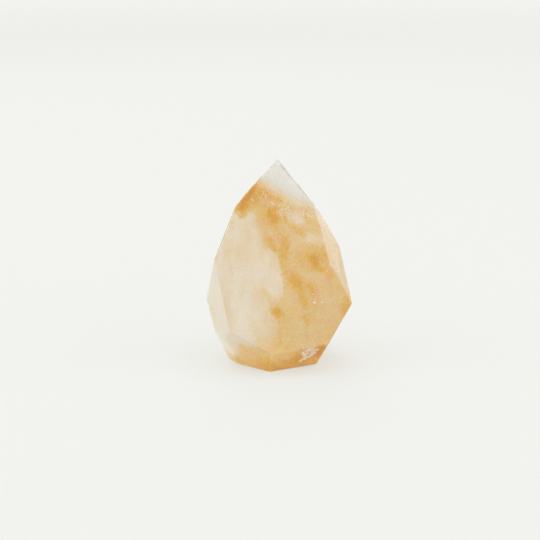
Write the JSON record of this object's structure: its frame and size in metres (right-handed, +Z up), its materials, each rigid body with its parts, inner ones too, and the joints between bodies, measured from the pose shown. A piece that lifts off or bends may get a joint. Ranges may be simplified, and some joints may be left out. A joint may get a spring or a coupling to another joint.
{
  "type": "citrine crystal point",
  "caption": "Freestanding faceted and polished point of milky yellow quartz, wide at the girdle, with a flat ground base to stand on.",
  "frame": {"origin": "on the ground under the middle of the point's bounding box", "axes": "+Z up through the tip, -Y is the broad front facet, +X is the right of someone facing the front facet"},
  "size_m": [0.0514, 0.0398, 0.0735],
  "materials": {
    "quartz": "polished, translucent, milky with honey and orange iron stains and a nearly clear tip"
  },
  "bodies": {
    "root": {"crystal_point": "quartz"}
  },
  "joints": []
}
